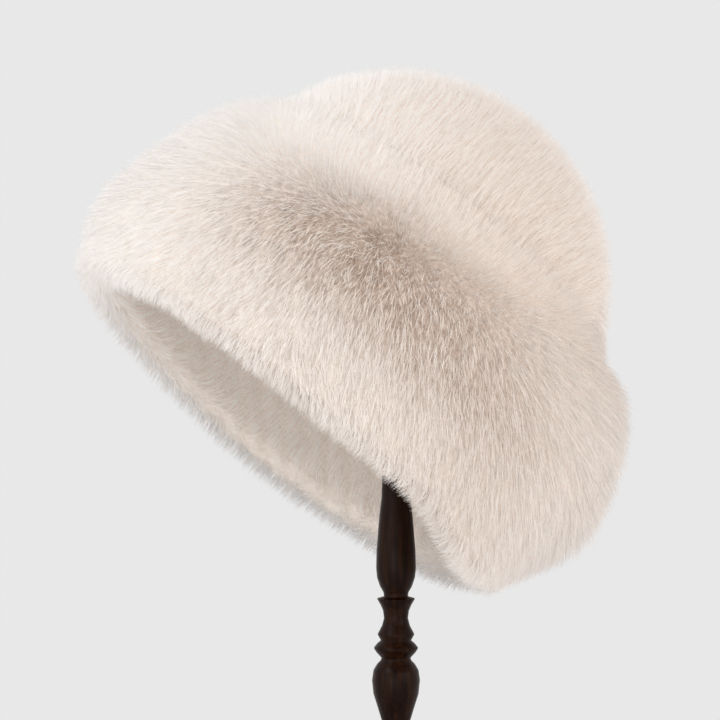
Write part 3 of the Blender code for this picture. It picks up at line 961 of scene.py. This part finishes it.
def crown_hair(material):
    """The crown's hair, brushed towards the back."""
    chance = np.random.default_rng(HAIR_SEED)
    tufts = CROWN_HAIRS // HAIRS_TO_A_TUFT
    edge = math.cos(CROWN_EDGE)
    turn, height = even_pairs(tufts, chance)
    polar = np.arccos(edge + (1 - edge) * height)
    turn = 2 * np.pi * turn
    tuft = np.repeat(np.arange(tufts), HAIRS_TO_A_TUFT)
    spread = TUFT_SPREAD / 2 / WALL
    sine = np.maximum(np.sin(polar[tuft]), LEAST_SINE)
    turn = turn[tuft] + chance.normal(size=len(tuft)) * spread / sine
    polar = np.clip(polar[tuft] + chance.normal(size=len(tuft)) * spread, 0.0, CROWN_EDGE)
    share = polar / CROWN_EDGE
    wall, out = crown_look(turn, polar)
    # From the front up over the top and down the back
    comb = flatten(np.cross(CROWN_COMB_AXIS, wall), out)
    # Away from the front the hair by the seam falls over the join
    down = flatten(stand_up(turn, np.stack([np.cos(polar), -np.sin(polar)], -1)), out)
    falling = ramp_up(share, CROWN_FALL_START, CROWN_FALL_FADE)
    falling = (falling * np.maximum(parting_side(turn, 0.0), 0))[:, None]
    comb = flatten(comb * (1 - falling) + down * falling, out)
    swirl = soft_lumps(wall, SWIRL_SIZE, seed=7) * CROWN_SWIRL
    comb = turned_aside(comb, out, swirl + chance.normal(size=len(turn)) * STRAY)
    length = CROWN_HAIR_LENGTH * uneven(wall, CROWN_UNEVEN, chance, seed=8)
    # Longer by the front seam, where it fills the fold between crown and brim
    length *= 1 + FOLD_LONGER * front_window(turn) * ramp_up(share, FOLD_START, 1 - FOLD_START)
    jitter = chance.normal(size=len(turn)) * CROWN_LEAN_SPREAD
    way = between_ways(wall / np.linalg.norm(wall, axis=1, keepdims=True), out, falling)
    root = wall + out * HAIR_START
    leans = [lean + jitter for lean in CROWN_LEAN]
    middle, tip = bend_hair(root, way, flatten(comb, way), length, *leans)
    tip = tufted(tip, tuft, tufts, np.full(len(tip), CROWN_PULL))
    spread = TONE_SPREAD * chance.normal(size=len(turn))
    # Painted shade: the tone falls to the right, plus a random spread
    tone_and_shade = np.clip(painted_right_shade(wall, CROWN_RIGHT_SHADE) + spread, 0, 1)
    deep = crown_shade(turn, polar)
    return hair_piece("crown_hair", root, middle, tip, way, tone_and_shade, deep, material, chance)


# The bodies under the hair


def crown_underfur(material):
    high = PELT / 2 + CROWN_FUR * UNDERFUR
    piece, points, out, outside = crown_dome(UNDERFUR_START, high, segments=128, rows=28)
    size, rise = CROWN_LUMPS
    points = points + out * (soft_lumps(points, size, seed=3) * rise * outside)[:, None]
    reshape(piece, into_world(points))
    # Painted shade: the tone falls to the right
    store(piece.data, "tone_and_shade", painted_right_shade(points, CROWN_RIGHT_SHADE))
    polar = np.arccos(np.clip(points[:, 2] / np.linalg.norm(points, axis=1), -1, 1))
    store(piece.data, "deep", crown_shade(turns_of(points), polar))
    return finish_piece(piece, "crown_underfur", material, ["crown_fur"])


def brim_underfur(material):
    def high(path):
        under = ramp_up(path, *UNDER_THINNING)
        return PELT / 2 + UNDERFUR * (BRIM_FUR + (UNDER_FUR - BRIM_FUR) * under)

    piece, points, out, outside, path = brim_ring(
        UNDERFUR_START, high, UNDERFUR_END, segments=200, rows=72
    )
    size, rise = BRIM_LUMPS
    points = points + out * (soft_lumps(points, size, seed=4) * rise * outside)[:, None]
    reshape(piece, into_world(points))
    # Painted shade: the tone falls to the right
    store(piece.data, "tone_and_shade", painted_right_shade(points, painted_shade_loss_at(path)))
    # Brown where the roots show, and painted shade under the hem and the brim
    store(piece.data, "deep", front_brown_and_shade(turns_of(points), path))
    return finish_piece(piece, "brim_underfur", material, ["brim_fur", "under_brim_fur"])


def crown_pelt(material):
    piece, points, _, _ = crown_dome(-PELT / 2, PELT / 2, segments=96, rows=22)
    reshape(piece, into_world(points))
    return finish_piece(piece, "crown_pelt", material, ["crown_shell"])


def brim_pelt(material):
    piece, points, _, _, _ = brim_ring(-PELT / 2, lambda path: PELT / 2, 1.0, segments=160, rows=32)
    reshape(piece, into_world(points))
    return finish_piece(piece, "brim_pelt", material, ["brim_shell"])


# The stand


def turn_piece(name, profile, material, node_name, soften):
    """A turned piece: a disc at the foot of the profile, drawn up ring by ring and closed."""
    deselect()
    radius, height = profile[0]
    bpy.ops.mesh.primitive_circle_add(
        vertices=TURNED_SIDES, radius=radius, fill_type="NGON", location=(0, 0, height)
    )
    piece = bpy.context.object
    bpy.ops.object.transform_apply(location=True)
    bpy.ops.object.mode_set(mode="EDIT")
    bpy.ops.mesh.select_all(action="SELECT")
    for (wide, low), (next_wide, next_low) in zip(profile, profile[1:]):
        bpy.ops.mesh.extrude_region_move(TRANSFORM_OT_translate={"value": (0, 0, next_low - low)})
        scale = next_wide / wide
        bpy.ops.transform.resize(value=(scale, scale, 1), center_override=(0, 0, next_low))
    bpy.ops.mesh.select_all(action="SELECT")
    bpy.ops.mesh.normals_make_consistent(inside=False)
    bpy.ops.object.mode_set(mode="OBJECT")
    bevel = piece.modifiers.new("Softened edges", "BEVEL")
    bevel.width = soften
    bevel.segments = 2
    bevel.limit_method = "ANGLE"
    bevel.angle_limit = SHARP_TURNING
    bpy.ops.object.modifier_apply(modifier=bevel.name)
    bpy.ops.object.shade_smooth_by_angle(angle=SMOOTH_TURNING)
    return finish_piece(piece, name, material, [node_name])


def cap(material):
    """The cap, rounded about the crown's centre."""
    low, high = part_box("stand_cap")
    seat = high[2] - CENTRE_HEIGHT
    sweep = math.asin(CAP_RADIUS / seat)
    profile = [(CAP_RADIUS * wide, low[2] + rise) for wide, rise in CAP_RIM]
    for row in range(CAP_RINGS, 0, -1):
        angle = sweep * row / CAP_RINGS
        profile.append((seat * math.sin(angle), CENTRE_HEIGHT + seat * math.cos(angle)))
    profile.append((CAP_POLE, high[2]))
    turn_piece("turned_cap", profile, material, "stand_cap", STAND_BEVEL)


def post(material):
    low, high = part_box("stand_post")
    length = high[2] - low[2]
    profile = [(wide * POST_RADIUS, low[2] + height * length) for height, wide in POST_TURNINGS]
    turn_piece("turned_post", profile, material, "stand_post", POST_BEVEL)


def base(material):
    profile = [(wide * BASE_RADIUS, height * BASE_THICKNESS) for height, wide in BASE_TURNINGS]
    turn_piece("turned_base", profile, material, "stand_base", STAND_BEVEL)


# The floor, the light and the camera


def floor():
    deselect()
    middle = (0, 0, -FLOOR_THICKNESS / 2)
    bpy.ops.mesh.primitive_cylinder_add(
        vertices=128, radius=FLOOR_RADIUS, depth=FLOOR_THICKNESS, location=middle
    )
    piece = bpy.context.object
    bpy.ops.object.transform_apply(location=True)
    piece.name = "floor"
    piece.data.materials.append(floor_material())


def area_light(name, place, aim, size, power, colour):
    data = bpy.data.lights.new(name, "AREA")
    data.shape = "RECTANGLE"
    data.size, data.size_y = size
    data.energy = power
    data.color = colour
    lamp = bpy.data.objects.new(name, data)
    lamp.location = place
    way = np.array(aim) - np.array(place)
    pitch = math.acos(-way[2] / np.linalg.norm(way))
    lamp.rotation_euler = (pitch, 0, math.atan2(-way[0], way[1]))
    bpy.context.scene.collection.objects.link(lamp)


def light():
    world = bpy.data.worlds.new("studio")
    world.use_nodes = True
    world.node_tree.nodes["Background"].inputs["Color"].default_value = (BACKGROUND,) * 3 + (1,)
    bpy.context.scene.world = world
    for settings in LIGHTS:
        area_light(*settings)


def camera():
    data = bpy.data.cameras.new("camera")
    data.sensor_width = SENSOR_WIDTH
    data.lens = data.sensor_width * -CAMERA_PLACE[1] / VIEW_WIDTH
    data.clip_start = 0.05
    made = bpy.data.objects.new("camera", data)
    made.location = CAMERA_PLACE
    made.rotation_euler = (math.radians(90), 0, 0)
    bpy.context.scene.collection.objects.link(made)
    bpy.context.scene.camera = made


def main():
    camera()
    light()
    floor()
    tint = beige_and_shade_group()
    hair = hair_material(tint)
    underfur = underfur_material(tint)
    pelt = pelt_material()
    wood = wood_material()
    crown_underfur(underfur)
    brim_underfur(underfur)
    crown_pelt(pelt)
    brim_pelt(pelt)
    cap(wood)
    post(wood)
    base(wood)
    crown_hair(hair)
    hem = BRIM_LENGTH + HEM_LENGTH / 2
    for seed, (side, (start, end)) in enumerate(QUARTERS.items(), HAIR_SEED + 1):
        brim_hair(f"brim_hair_{side}", start, end, 0.0, hem, BRIM_HAIRS, hair, seed)
    inmost = BRIM_LENGTH + HEM_LENGTH + BRIM_LENGTH * UNDER_SHARE
    brim_hair("under_brim_hair", 0, 360, hem, inmost, UNDER_HAIRS, hair, UNDER_SEED)
    bpy.context.scene.view_settings.view_transform = "Standard"


main()
